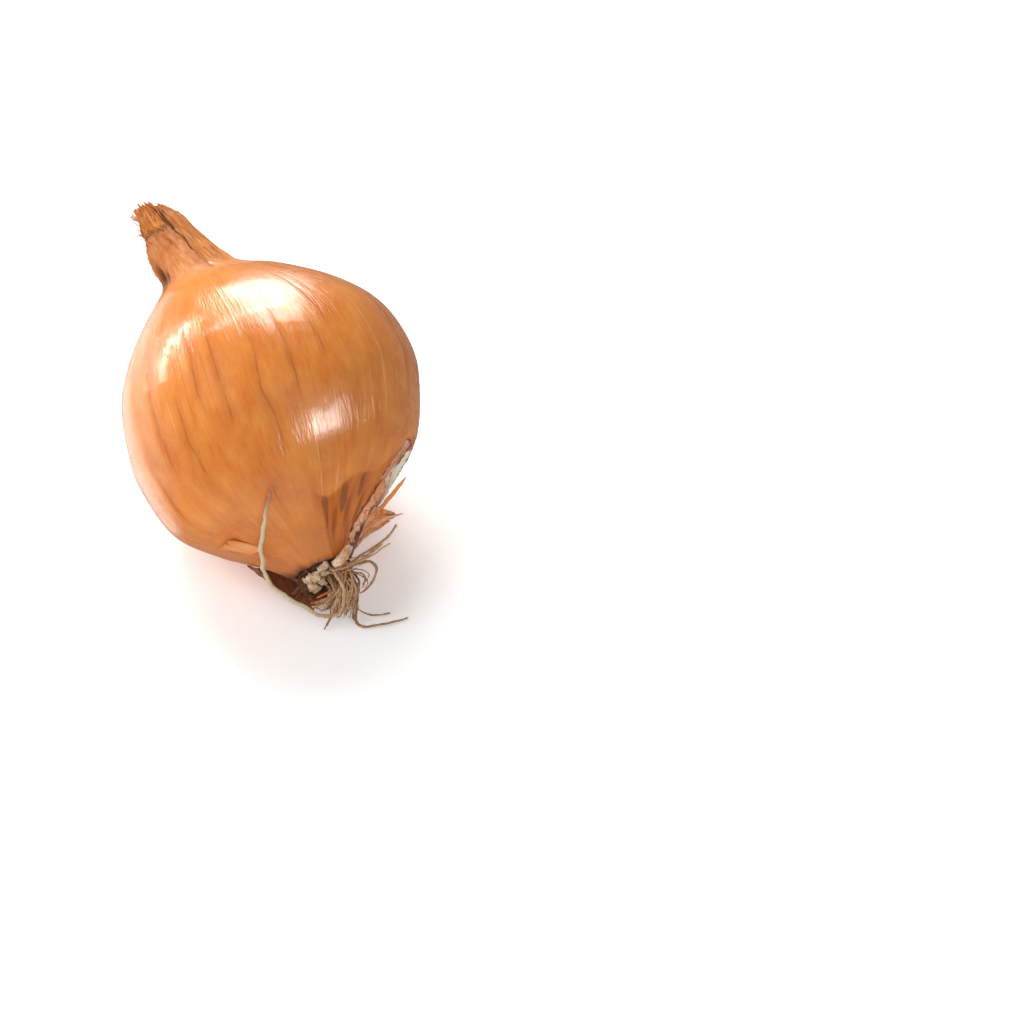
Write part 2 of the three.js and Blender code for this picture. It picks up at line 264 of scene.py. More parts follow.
def ease(value, low, high):
    """0 below low, 1 above high, smooth between."""
    t = clamp((value - low) / (high - low))
    return t * t * (3 - 2 * t)


def between(low, high, share):
    return low + (high - low) * share


def radius_at(height):
    i = clamp(bisect_left(outline_heights, height), 1, LEVELS)
    low, high = outline[i - 1], outline[i]
    return between(low.x, high.x, clamp((height - low.y) / (high.y - low.y)))


def sideways_at(height):
    belly = clamp(height / BULB_LENGTH)
    neck = max(0, height - BULB_LENGTH) / NECK_LENGTH
    return BELLY_SHIFT * math.sin(math.pi * belly**1.7) - NECK_DRIFT * neck**0.95


def out_of_round(angle):
    oval = 0.01 * math.cos(2 * (angle - math.radians(30)))
    return 1 + oval + 0.006 * math.cos(3 * angle + math.radians(40))


def on_bulb(angle, height, lift=0.0):
    """A place on the bulb, or lifted off it, in the bulb's own frame. The angle is in radians."""
    reach = radius_at(height) * out_of_round(angle) + lift
    return Vector((reach * math.cos(angle) + sideways_at(height), reach * math.sin(angle), height))


# Long creases that run with the veins: angle, height from and to, half width and depth, in degrees and mm.
CREASES = [
    (-88.5, 24, 60, 0.9, 0.24), (-75.5, 34, 76, 0.8, 0.30), (-103, 34, 68, 1.0, 0.22),
    (-122, 22, 54, 0.9, 0.20), (-146, 20, 44, 1.0, 0.18), (-99, 14, 34, 0.8, 0.14),
    (-112, 40, 74, 0.7, 0.12), (-63, 42, 60, 0.9, 0.10), (-134, 34, 70, 1.0, 0.12),
    (-56, 50, 78, 0.8, 0.14), (-20, 30, 66, 1.0, 0.2), (8, 22, 60, 0.9, 0.2), (36, 30, 72, 1.0, 0.25),
    (61, 18, 50, 0.8, 0.2), (84, 34, 76, 1.0, 0.22), (112, 24, 58, 0.9, 0.2), (139, 36, 70, 0.9, 0.24),
    (163, 20, 62, 1.0, 0.2), (184, 38, 74, 0.8, 0.16),
]
# Fine pale scratches and raised veins, in the same way.
PALE_VEINS = [
    (-30, 22, 48, 0.25, 0.07), (-46, 19, 44, 0.25, 0.08), (-75, 14, 34, 0.35, 0.10),
    (-90, 54, 82, 0.3, 0.10), (-49, 54, 76, 0.3, 0.10), (-126, 40, 55, 0.35, 0.10),
    (-58, 12, 24, 0.25, 0.06), (-87, 62, 82, 0.25, 0.08), (-66, 12, 30, 0.25, 0.06),
    (-104, 8, 26, 0.25, 0.06), (-118, 10, 24, 0.25, 0.06), (-38, 24, 62, 0.2, 0.05),
    (22, 30, 60, 0.3, 0.08), (75, 26, 64, 0.3, 0.08), (124, 30, 66, 0.3, 0.08), (172, 24, 60, 0.3, 0.08),
]
# Dark stains on the inner skin near the roots: angle, height, half breadth, half length, strength.
STAINS = [
    (-74, 13.5, 0.9, 4.2, 0.9), (-66, 10.5, 0.8, 3.6, 0.6), (-60, 15.2, 1.0, 3.2, 0.85),
    (-55, 12.5, 0.8, 3.0, 0.5), (-47, 16.4, 0.7, 2.6, 0.9), (-43, 12.0, 0.8, 3.4, 0.7),
    (-81, 9.0, 0.6, 3.0, 0.3),
]
# Where the skins have split away and show the flesh, the pink torn skin beside it, and where only the inner
# brown skin is left: angle, height.
BARE_PATCH = [
    (-37, 2), (-35.5, 7.5), (-33, 9.6), (-29.5, 11.4), (-26, 13.2), (-22, 15.6), (-17, 18.4), (-10, 21.5),
    (4, 22.5), (18, 20), (28, 14), (34, 8), (38, 2),
]
PINK_PATCH = [
    (-44, 4), (-42.5, 8.4), (-40, 10.6), (-36.5, 12.8), (-32, 15), (-28, 17.4), (-23, 20.4), (-15, 24),
    (-8, 23), (-20, 15), (-28, 11), (-33, 6), (-36, 2),
]
INNER_SKIN_PATCH = [
    (-66, 1), (-70, 5.5), (-74, 9), (-77, 13), (-81, 18.6), (-76, 17.2), (-70, 16.6), (-64, 17.6),
    (-57, 19), (-47, 19.2), (-40, 18.6), (-32, 19.8), (-22, 22.5), (-8, 25), (4, 25), (18, 22), (30, 14),
    (36, 8), (40, 2),
]
MM_PER_DEGREE = 0.3  # near the root end


def depth_inside(angle_degrees, height, patch):
    """How far inside a patch a place is, in mm. Negative outside."""
    place = Vector((angle_degrees * MM_PER_DEGREE, height / MM))
    inside = False
    nearest = 1e9
    for i, (angle, level) in enumerate(patch):
        a = Vector((angle * MM_PER_DEGREE, level))
        b = Vector((patch[i - 1][0] * MM_PER_DEGREE, patch[i - 1][1]))
        if (a.y > place.y) != (b.y > place.y) and place.x < (b.x - a.x) * (place.y - a.y) / (b.y - a.y) + a.x:
            inside = not inside
        t = clamp((place - a).dot(b - a) / (b - a).length_squared)
        nearest = min(nearest, (place - a.lerp(b, t)).length)
    return nearest if inside else -nearest


def nearest_line(angle, height, lines):
    """How far aside the nearest line is, in mm, how strong it is, and how deep the lines are, in metres."""
    aside, strength, depth = 3.0, 0.0, 0.0
    reach = radius_at(height)
    for line_angle, low, high, half_width, deep in lines:
        low, high, half_width = low * MM, high * MM, half_width * MM
        wander = 1.5 * lumps(line_angle, height / MM / 9, 0)
        turn = (math.degrees(angle) - line_angle - wander + 180) % 360 - 180
        distance = math.radians(turn) * reach
        fade = ease(height, low, low + 8 * MM) * (1 - ease(height, high - 10 * MM, high))
        if fade > 0 and abs(distance / MM) < abs(aside):
            aside, strength = distance / MM, fade
        depth = max(depth, math.exp(-((distance / half_width) ** 2)) * fade * 0.6 * deep * MM)
    return aside, strength, depth


def shadow_at(angle, height):
    """Where the neck is painted with shade and where its wraps sink in: the slit between its two wraps, and
    the folds low on its left.
    """
    turn, level = (math.degrees(angle) + 180) % 360 - 180, height / MM
    wide = between(1.5, 5.5, ease(level, 92, 97))
    slit = math.exp(-(((turn + 76 + 5 * lumps(level / 3, 0, 0)) / wide) ** 2))
    slit *= ease(level, 86, 88.5) * (1 - ease(level, 101, 104))
    fold = math.exp(-(((turn + 160) / 7) ** 2) - ((level - 86) / 3.2) ** 2)
    fold += math.exp(-(((turn + 146) / 5) ** 2) - ((level - 84.5) / 1.8) ** 2)
    return clamp(slit + fold + 0.5 * math.exp(-(((level - 96.5) / 0.8) ** 2)) * ease(-turn, 70, 90))


ROUND_STEPS = 380
BELLY_FACETS = 0.34 * MM
VEIN_RIBS = 0.10 * MM
DENTS = 0.45 * MM
SKIN_STEP = 0.35 * MM  # from one torn skin down to the next

# The root plate is set askew in the bulb's end.
PLATE_RADIUS = 6.6 * MM
PLATE_DEPTH = 3.2 * MM
PLATE_TIP = 24  # degrees
PLATE_SIDE = 16  # degrees
PLATE_OFF = Vector((-1.4, -1, 2.6)) * MM
PLATE_FRAME = Matrix.Translation(PLATE_OFF) @ Euler(
    (math.radians(-PLATE_TIP), math.radians(-PLATE_SIDE), 0)
).to_matrix().to_4x4()
TO_PLATE = PLATE_FRAME.inverted()
TO_LOCAL = LYING.inverted()

bm = bmesh.new()
profile = [bm.verts.new((0, 0, outline[0].y))]
profile += [bm.verts.new((p.x, 0, p.y)) for p in outline]
profile.append(bm.verts.new((0, 0, BULB_LENGTH + NECK_LENGTH)))
edges = [bm.edges.new(pair) for pair in zip(profile, profile[1:])]
bmesh.ops.spin(
    bm, geom=profile + edges, cent=(0, 0, 0), axis=(0, 0, 1), angle=2 * math.pi, steps=ROUND_STEPS,
    use_merge=True,
)
bmesh.ops.remove_doubles(bm, verts=bm.verts, dist=1e-6)
bmesh.ops.recalc_face_normals(bm, faces=bm.faces)

# What the skin's material reads at each place: how near a crease or a pale vein runs, how far inside a bare,
# pink or inner patch it lies, in mm, how stained it is, how crusted or painted with shade, how deep or low it
# is and how far up the neck.
marks = {name: bm.verts.layers.float.new(name) for name in (
    "crease", "crease_aside", "pale", "pale_aside", "bare", "inner", "pink", "stain", "crust_and_shade", "neck", "deep",
    "low",
)}
vein_place = bm.verts.layers.float_vector.new("vein_place")
for vert in bm.verts:
    x, y, height = vert.co
    angle = math.atan2(y, x) if x or y else 0.0
    turn = math.degrees(angle)
    round_place = Vector((math.cos(angle), math.sin(angle), 0))
    body = math.sin(math.pi * clamp(height / BULB_LENGTH, 0.02, 0.98)) ** 0.6
    lift = BELLY_FACETS * body * noise.noise(round_place * 3.4 + Vector((0, 0, height / 0.07)))
    lift += VEIN_RIBS * body * noise.noise(round_place * 11 + Vector((3, 1, height / 0.09)))
    lift += DENTS * body * noise.noise(Vector((x, y, height)) / 0.028)
    neck = ease(height, 76 * MM, 90 * MM)
    lift += neck * 0.55 * MM * noise.noise(round_place * 2.6 + Vector((7, 0, height / 0.02)))
    lift += neck * 0.30 * MM * noise.noise(round_place * 7 + Vector((0, 5, height / 0.03)))
    crease_aside, crease, crease_depth = nearest_line(angle, height, CREASES)
    pale_aside, pale, pale_rise = nearest_line(angle, height, PALE_VEINS)
    lift += pale_rise - crease_depth
    vert[marks["crease"]] = crease
    vert[marks["neck"]] = ease(height, 77 * MM, 85 * MM)
    vert[marks["low"]] = 1 - ease(height, 5 * MM, 20 * MM)
    vert[vein_place] = (round_place.x, round_place.y, height / BELLY_RADIUS)
    vert[marks["crease_aside"]] = crease_aside
    vert[marks["pale"]] = pale
    vert[marks["pale_aside"]] = pale_aside
    vert[marks["bare"]] = vert[marks["inner"]] = vert[marks["pink"]] = -2
    if height < 26 * MM:
        ragged = 0.45 * noise.fractal(Vector((turn * MM_PER_DEGREE, height / MM, 0)) * 0.9, 1.0, 2.1, 4)
        tatters = ragged + 0.9 * lumps(turn * MM_PER_DEGREE * 1.3, height / MM * 0.8, 3)
        bare = clamp(depth_inside(turn, height, BARE_PATCH) + tatters, -2, 2)
        pink = clamp(depth_inside(turn, height, PINK_PATCH) + 0.8 * tatters, -2, 2)
        inner = clamp(depth_inside(turn, height, INNER_SKIN_PATCH) + 0.4 * ragged, -2, 2)
        vert[marks["bare"]], vert[marks["inner"]], vert[marks["pink"]] = bare, inner, pink
        vert[marks["deep"]] = 1 - ease(height / MM + 1.5 * ragged, 8.8, 10.8)
        torn = max(bare, pink)
        lift += 0.35 * MM * math.exp(-max(0, -torn) / 0.8) * (1 - ease(torn, -0.1, 0.1))
        lift += 0.14 * MM * math.exp(-max(0, -inner) / 0.6) * (1 - ease(inner, -0.1, 0.1))
        lift -= SKIN_STEP * (ease(torn, -0.1, 0.15) + ease(bare, -0.1, 0.3) * (1 + vert[marks["deep"]]))
        lift -= 0.6 * SKIN_STEP * ease(inner, -0.15, 0.2)
        lift += 0.9 * MM * ease(pink, -0.1, 0.3) * (1 - ease(bare, -0.2, 0.1)) * ragged
        stain = 0.0
        for stain_angle, level, breadth, length, strength in STAINS:
            across = (turn - stain_angle) * MM_PER_DEGREE / breadth + 0.5 * ragged
            along = (height / MM - level) / length + 0.3 * ragged
            stain = max(stain, strength * (1 - ease(across**2 + along**2, 0.35, 1.1)))
        vert[marks["stain"]] = stain
    # Painted shade in the neck's slit and folds, with the darker crusted tip.
    if height > 80 * MM:
        vert[marks["crust_and_shade"]] = max(shadow_at(angle, height), 0.75 * ease(height, 97 * MM, 101 * MM))
    place = on_bulb(angle, height, lift) if x or y else Vector((sideways_at(height), 0, height))

    # The hollow that the root plate sits in, with a ragged rim.
    local = TO_PLATE @ place
    rim = PLATE_RADIUS + (0.3 + 0.6 * noise.noise(round_place * 3)) * MM
    floor = PLATE_DEPTH / 2 + 0.3 * MM
    reach = math.hypot(local.x, local.y)
    open_radius = rim + max(0, -local.z) * 0.25
    # A dark ring round the hollow's rim: crusted skin and painted shade in the hollow.
    if height < 20 * MM:
        spikes = 0.9 * noise.noise(round_place * 9) + 0.3 * noise.noise(round_place * 27)
        vert[marks["crust_and_shade"]] = 1 - ease(reach + spikes * MM, rim - 0.4 * MM, rim + 2.6 * MM)
    if reach < open_radius and local.z < floor and height < 20 * MM:
        sink = ease(open_radius - reach, 0, 0.9 * MM)
        local.z = between(local.z, floor, sink)
        place = PLATE_FRAME @ local
    vert.co = place

bmesh.ops.transform(bm, matrix=LYING, verts=bm.verts)
for vert in bm.verts:
    vert.co.z = max(vert.co.z, 0)


def finish_piece(bm, name, material, slot_name, *nodes):
    """Turns a mesh under construction into a piece that stands for CAD nodes."""
    mesh = bpy.data.meshes.new(name)
    for face in bm.faces:
        face.smooth = True
    bm.to_mesh(mesh)
    bm.free()
    mesh.materials.append(material)
    piece = bpy.data.objects.new(name, mesh)
    bpy.context.collection.objects.link(piece)
    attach(piece, "root")
    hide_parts(*nodes)
    return piece


def new_group(name, inputs, outputs):
    """An empty shader node group, returned with its input and output nodes."""
    group = bpy.data.node_groups.new(name, "ShaderNodeTree")
    for label, value in inputs.items():
        group.interface.new_socket(label, in_out="INPUT", socket_type="NodeSocketFloat").default_value = value
    for label in outputs:
        group.interface.new_socket(label, in_out="OUTPUT", socket_type="NodeSocketFloat")
    return group, group.nodes.new("NodeGroupInput"), group.nodes.new("NodeGroupOutput")


def vein_noise(tree, around, along):
    """Noise stretched along the veins: around and along say how many features there are."""
    stretch = add_node(tree, "ShaderNodeCombineXYZ")
    for socket, value in zip(stretch.inputs, (around, around, along)):
        tree.links.new(value, socket)
    on_leaf = add_node(tree, "ShaderNodeAttribute", attribute_name="vein_place")
    place = add_node(tree, "ShaderNodeVectorMath", operation="MULTIPLY")
    tree.links.new(on_leaf.outputs["Vector"], place.inputs[0])
    tree.links.new(stretch.outputs["Vector"], place.inputs[1])
    return noise_value(tree, 1, 2, place.outputs["Vector"])


# Veins: fine lines and broad streaks along the leaf, as every dry skin of the onion has them.
veins, veins_in, veins_out = new_group(
    "leaf_veins", {"Lines": 40.0, "Along": 30.0, "Sharpness": 0.5}, ("Fine", "Broad")
)
fine = vein_noise(veins, veins_in.outputs["Lines"], veins_in.outputs["Along"])
broad_lines = times(veins, veins_in.outputs["Lines"], 0.16)
broad = vein_noise(veins, broad_lines, times(veins, veins_in.outputs["Along"], 0.5))
sharp = calc(veins, "MULTIPLY_ADD", veins_in.outputs["Sharpness"], -0.2, 0.25)
for value, label in ((fine, "Fine"), (broad, "Broad")):
    spread = calc(veins, "DIVIDE", calc(veins, "SUBTRACT", value, 0.5), sharp)
    veins.links.new(calc(veins, "MULTIPLY_ADD", spread, 0.5, 0.5, clamp=True), veins_out.inputs[label])

# Mottling: cloudy patches where the dry skin clings to the flesh or stands off it.
mottling, mottling_in, mottling_out = new_group("mottling", {"Size": 60.0, "Contrast": 2.0}, ("Patches",))
cloud = calc(mottling, "SUBTRACT", noise_value(mottling, mottling_in.outputs["Size"], 5), 0.5)
cloud = calc(mottling, "MULTIPLY_ADD", cloud, mottling_in.outputs["Contrast"], 0.5, clamp=True)
mottling.links.new(cloud, mottling_out.inputs["Patches"])


def use_group(tree, group, **values):
    node = add_node(tree, "ShaderNodeGroup", node_tree=group)
    for label, value in values.items():
        node.inputs[label].default_value = value
    return node.outputs


def leaf_lines(tree, around, along, sharpness):
    return use_group(tree, veins, Lines=around, Along=along, Sharpness=sharpness)


def mottle(tree, size, contrast):
    return use_group(tree, mottling, Size=size, Contrast=contrast)["Patches"]


def mark(tree, name):
    return add_node(tree, "ShaderNodeAttribute", attribute_name=name).outputs["Fac"]


def thin_line(tree, aside, wobble, half_width, soft):
    """1 on the line itself, 0 away from it, with the line's place shaken by the wobble."""
    shaken = calc(tree, "ABSOLUTE", calc(tree, "ADD", aside, wobble))
    return calc(tree, "SUBTRACT", 1, step_between(tree, shaken, half_width, half_width + soft))


skin_material, tree, shader = new_material("copper_skin", roughness=0.3, coat=0.18, coat_roughness=0.10)
shader.inputs["IOR"].default_value = 1.42
lines = leaf_lines(tree, 60, 10, 0.5)
hair_lines = leaf_lines(tree, 150, 12, 0.7)
patches = mottle(tree, 110, 3.2)
clouds = mottle(tree, 26, 3.0)
specks = mottle(tree, 700, 3.0)
papery = mottle(tree, 300, 2.6)
wobble = times(tree, calc(tree, "SUBTRACT", noise_value(tree, 260, 3), 0.5), 0.9)
breaks = noise_value(tree, 130, 2)
bands = leaf_lines(tree, 24, 1.6, 0.3)
color = mix(tree, clouds, (0.66, 0.165, 0.018), (0.86, 0.270, 0.034))
color = tint(tree, color, (0.60, 0.150, 0.020), bands["Broad"], 0.42)
color = tint(tree, color, (0.92, 0.40, 0.090), bands["Fine"], 0.22)
color = tint(tree, color, (0.90, 0.36, 0.075), lines["Broad"], 0.55)
color = tint(tree, color, (0.56, 0.130, 0.015), patches, 0.42)
color = tint(tree, color, (0.46, 0.115, 0.018), lines["Fine"], 0.15)
color = tint(tree, color, (0.95, 0.50, 0.16), hair_lines["Fine"], 0.09)
color = tint(tree, color, (0.55, 0.125, 0.016), papery, 0.16)
# Painted shade along each crease: a soft band beside it and a thin, broken dark line in it.
crease, crease_aside = mark(tree, "crease"), mark(tree, "crease_aside")
shade_side = times(tree, thin_line(tree, crease_aside, wobble, 0.1, 2.2), crease)
color = tint(tree, color, (0.44, 0.095, 0.014), shade_side, 0.30)
dark_line = times(tree, thin_line(tree, crease_aside, wobble, 0.04, 0.36), crease)
dark_line = times(tree, dark_line, step_between(tree, breaks, 0.25, 0.6))
color = tint(tree, color, (0.28, 0.060, 0.012), dark_line, 0.42)
pale_line = thin_line(tree, mark(tree, "pale_aside"), 0.0, 0.03, 0.3)
pale_line = times(tree, pale_line, mark(tree, "pale"))
pale_line = times(tree, pale_line, step_between(tree, breaks, 0.3, 0.65))
color = tint(tree, color, (0.95, 0.56, 0.24), pale_line, 0.5)
color = tint(tree, color, (0.52, 0.125, 0.018), mark(tree, "low"), 0.45)

# The inner brown skin with its stains, the pink torn skin, and the flesh, which is darker low down in the
# deep gap: partly brown old tissue and partly painted shade.
tears = times(tree, wobble, 0.35)
inner_mask = step_between(tree, calc(tree, "ADD", mark(tree, "inner"), tears), -0.06, 0.9)
inner_color = mix(tree, lines["Broad"], (0.54, 0.120, 0.012), (0.72, 0.205, 0.020))
inner_color = tint(tree, inner_color, (0.30, 0.07, 0.012), hair_lines["Fine"], 0.3)
inner_color = tint(tree, inner_color, (0.20, 0.046, 0.012), mark(tree, "stain"), 0.72)
color = tint(tree, color, inner_color, inner_mask)
pink_mask = step_between(tree, calc(tree, "ADD", mark(tree, "pink"), tears), -0.04, 0.08)
pink_color = mix(tree, patches, (0.72, 0.34, 0.20), (0.62, 0.22, 0.10))
pink_color = tint(tree, pink_color, (0.84, 0.56, 0.40), step_between(tree, specks, 0.5, 0.9))
color = tint(tree, color, pink_color, pink_mask)
bare_mask = step_between(tree, calc(tree, "ADD", mark(tree, "bare"), tears), -0.04, 0.08)
flesh = mix(tree, lines["Broad"], (1.0, 0.94, 0.78), (0.90, 0.85, 0.60))
# Darker in the deep gap low down: painted shade and brown tissue.
flesh = tint(tree, flesh, mix(tree, patches, (0.15, 0.044, 0.015), (0.30, 0.11, 0.045)), mark(tree, "deep"))
color = tint(tree, color, flesh, bare_mask)
# Painted shadow along the torn edges, where each torn skin steps down to the one below.
pink_edge_shadow = thin_line(tree, mark(tree, "pink"), tears, 0.03, 0.24)
bare_edge_shadow = times(tree, thin_line(tree, mark(tree, "bare"), tears, 0.03, 0.2), 0.35)
torn_edge_shadow = calc(tree, "MAXIMUM", pink_edge_shadow, bare_edge_shadow)
color = tint(tree, color, (0.13, 0.035, 0.012), torn_edge_shadow, 0.85)
# Painted shade in the neck's slit and folds and round the plate's hollow, with the crusted neck tip and rim.
color = tint(tree, color, (0.10, 0.032, 0.012), mark(tree, "crust_and_shade"), 0.90)
rough = calc(tree, "MULTIPLY_ADD", patches, 0.16, 0.09)
rough = calc(tree, "MULTIPLY_ADD", papery, 0.08, rough)
rough = calc(tree, "MULTIPLY_ADD", mark(tree, "crust_and_shade"), 0.4, rough)
rough = calc(tree, "MULTIPLY_ADD", mark(tree, "deep"), 0.3, rough)
rough = calc(tree, "MULTIPLY_ADD", mark(tree, "neck"), 0.35, rough)
rough = calc(tree, "MULTIPLY_ADD", bare_mask, 0.15, rough, clamp=True)
tree.links.new(rough, shader.inputs["Roughness"])
relief = calc(tree, "ADD", times(tree, lines["Fine"], 0.8), times(tree, patches, 1.1))
relief = calc(tree, "MULTIPLY_ADD", hair_lines["Fine"], 0.3, relief)
relief = calc(tree, "MULTIPLY_ADD", papery, 0.8, relief)
relief = calc(tree, "SUBTRACT", relief, times(tree, dark_line, 0.5))
relief = calc(tree, "MULTIPLY_ADD", pale_line, 0.8, relief)
finish_look(tree, shader, color, relief, 0.35, 0.14)
finish_piece(bm, "onion_bulb", skin_material, "bulb_skin", "bulb")


# ---- The neck ----
# The tops of the leaves, drawn together, wilted and dried to fibrous paper. A front wrap and a rear wrap
# overlap the core, a shrivelled strand clings to the left side, and the frayed fibres stand out at the tip.


def leaf_mesh(steps, shape, dark=lambda angle, height: 0.0):
    """A thin leaf: shape gives the place, angle and height for a share across and a share along."""
    bm = bmesh.new()
    bmesh.ops.create_grid(bm, x_segments=steps[0], y_segments=steps[1], size=0.5)
    edge = bm.verts.layers.float.new("edge")
    # The dark layer holds painted shade, given by dark at each angle and height.
    painted_shade_mark = bm.verts.layers.float.new("dark")
    vein_place = bm.verts.layers.float_vector.new("vein_place")
    for vert in bm.verts:
        across, along = vert.co.x + 0.5, vert.co.y + 0.5
        vert[edge] = max(abs(2 * across - 1) ** 3, along**3)
        place, angle, height = shape(across, along)
        vert[vein_place] = (math.cos(angle), math.sin(angle), height / BELLY_RADIUS)
        vert[painted_shade_mark] = dark(angle, height)
        vert.co = LYING @ place
    return bm


def thicken(piece, thickness):
    """Gives a leaf its thickness, in mm, half to each side."""
    solid = piece.modifiers.new("thickness", "SOLIDIFY")
    solid.thickness = thickness * MM
    solid.offset = 0


def rag(place, size, seed):
    """A torn edge: how far it falls short, from 0 to size."""
    coarse = lumps(place * 3, seed, 0)
    fine = lumps(place * 14, seed, 5)
    return size * clamp(0.5 + 0.6 * coarse + 0.35 * fine)


sheath_material, tree, shader = new_material("dry_sheath", roughness=0.62, gloss=0.15)
lines = leaf_lines(tree, 26, 6, 0.7)
patches = mottle(tree, 260, 3.0)
color = mix(tree, patches, (0.56, 0.175, 0.028), (0.78, 0.320, 0.080))
color = tint(tree, color, (0.74, 0.225, 0.022), lines["Broad"], 0.6)
rosy_color = mix(tree, patches, (0.58, 0.19, 0.055), (0.70, 0.30, 0.12))
color = tint(tree, color, rosy_color, mark(tree, "rosy"), 0.8)
dark_lines = step_between(tree, lines["Fine"], 0.5, 0.95)
plain = times(tree, mark(tree, "rosy"), 0.32)
breaks = calc(tree, "SUBTRACT", noise_value(tree, 220, 3), plain)
dark_lines = times(tree, dark_lines, step_between(tree, breaks, 0.28, 0.55))
color = tint(tree, color, (0.20, 0.046, 0.010), dark_lines, 0.62)
color = tint(tree, color, (0.30, 0.085, 0.02), mark(tree, "edge"), 0.35)
color = tint(tree, color, (0.66, 0.205, 0.030), mark(tree, "foot"))
# Painted shade in the slit between the wraps and in the folds low on the left.
color = tint(tree, color, (0.045, 0.014, 0.007), mark(tree, "dark"), 0.93)
relief = calc(tree, "SUBTRACT", times(tree, patches, 0.4), dark_lines)
finish_look(tree, shader, color, relief, 0.6, 0.25)


def wrap(
    name, node, angles, heights, lifts, seed, fall=0.0, curl=0.0, rosy=0.0, steps=(90, 70), thickness=0.35
):
    """One dry wrap round the neck, in degrees and mm. Its foot sinks into the bulb, and its top is torn."""

    def shape(across, along):
        angle = math.radians(between(*angles, across + 0.04 * lumps(along * 4, seed, 2)))
        top = heights[1] * MM - fall * across**2 * MM - rag(across * 6, 3.4 * MM, seed)
        height = between(heights[0] * MM, top, along)
        lift = between(lifts[0], lifts[1], ease(along, 0, 0.6)) * MM
        lift += 0.30 * MM * lumps(across * 11, along * 5, seed + 7)
        lift += 0.60 * MM * ease(along, 0.1, 0.5) * lumps(across * 8, along * 2.2, seed)
        lift += 0.30 * MM * ease(along, 0, 0.4) * lumps(across * 24, along * 6, seed + 3)
        lift += 0.14 * MM * lumps(across * 50, along * 16, seed + 5)
        lift -= 0.9 * MM * shadow_at(angle, height)
        lift += curl * MM * max(0, 1 - across / 0.14) ** 2 * math.sin(math.pi * clamp(along * 1.1)) ** 0.5
        return on_bulb(angle, height, lift), angle, height

    bm = leaf_mesh(steps, shape, shadow_at)
    foot, rosy_mark = bm.verts.layers.float.new("foot"), bm.verts.layers.float.new("rosy")
    for vert in bm.verts:
        level = (TO_LOCAL @ vert.co).z + 2 * MM * noise.noise(vert.co / 0.003)
        vert[foot] = 1 - ease(level, (heights[0] + 1.5) * MM, (heights[0] + 5) * MM)
        vert[rosy_mark] = rosy
    thicken(finish_piece(bm, name, sheath_material, "neck_sheath", *node), thickness)


wrap("neck_wrap_front", ("neck_sheath_front",), (-166, -77.5), (78, 98.6), (-0.5, 1.3), 1, curl=1.4, rosy=1)
wrap("neck_wrap_rear", ("neck_sheath_rear",), (-78.5, 98), (78, 103), (-0.5, 1.0), 2, fall=7)
wrap("neck_wrap_back", (), (80, 200), (79.5, 97), (-0.35, 0.5), 3)
wrap("neck_strand_left", ("neck_leaf_left",), (164, 188), (82, 94.5), (0.1, 2.2), 4, steps=(24, 60))
INNER_LEAVES = [((-185, -70), 106.4, 0.5), ((-90, 40), 104.6, 0.7), ((30, 190), 105.4, 0.6)]
for i, (angles, top, lift) in enumerate(INNER_LEAVES):
    name = "neck_core_%d" % (i + 1)
    wrap(name, (), angles, (89, top), (-0.2, lift), 10 + i, steps=(80, 60), thickness=0.25)


def join_into(bm, part):
    """Adds one mesh under construction to another and frees it."""
    mesh = bpy.data.meshes.new("part")
    part.to_mesh(mesh)
    part.free()
    bm.from_mesh(mesh)
    bpy.data.meshes.remove(mesh)


def bent_rod(bm, line, radii, sides, flat=1.0, twist=0.0):
    """Adds a closed rod to a mesh and returns its corners. It has a radius at each point of its line."""
    rod = bmesh.new()
    bmesh.ops.create_cone(rod, cap_ends=True, cap_tris=False, segments=sides, radius1=1, radius2=1, depth=1)
    uprights = [e for e in rod.edges if abs(e.verts[0].co.z - e.verts[1].co.z) > 0.5]
    bmesh.ops.subdivide_edges(rod, edges=uprights, cuts=len(line) - 2)
    frames = []
    across = (line[1] - line[0]).orthogonal().normalized()
    for i, place in enumerate(line):
        ahead = (line[min(i + 1, len(line) - 1)] - line[max(i - 1, 0)]).normalized()
        across = Matrix.Rotation(twist, 3, ahead) @ across
        across = (across - ahead * across.dot(ahead)).normalized()
        frames.append((place, across, ahead.cross(across)))
    for vert in rod.verts:
        i = round((vert.co.z + 0.5) * (len(line) - 1))
        place, first, second = frames[i]
        vert.co = place + (first * vert.co.x + second * vert.co.y * flat) * radii[i]
    count = len(bm.verts)
    join_into(bm, rod)
    bm.verts.ensure_lookup_table()
    return bm.verts[count:]


# Frayed fibres at the tip and along the torn top of the front wrap.
random.seed(7)
FIBRES = 110
FIBRE_POINTS = 7
bm = bmesh.new()
tone = bm.verts.layers.float.new("tone")
for i in range(FIBRES):
    at_tip = i % 3  # two in three
    angle = math.radians(uniform(-180, 180) if at_tip else uniform(-165, -80))
    height = (uniform(98, 104) if at_tip else uniform(93, 95.5)) * MM
    lift = uniform(0.3, 1.3) * MM
    place = on_bulb(angle, height, lift)
    out = Vector((math.cos(angle), math.sin(angle), 0))
    heading = (Vector((-0.35, 0, 1)) + out * uniform(-0.1, 0.9)).normalized()
    curl = Vector([uniform(-1, 1) for _ in range(3)])
    step = uniform(0.25, 0.65) * MM
    line = []
    for _ in range(FIBRE_POINTS):
        line.append(LYING @ place)
        heading = (heading + curl * 0.22).normalized()
        place = place + heading * step
    thick = uniform(0.06, 0.14) * MM
    shade = random.random()
    for vert in bent_rod(bm, line, [thick * (1 - 0.1 * k) for k in range(FIBRE_POINTS)], 4):
        vert[tone] = shade
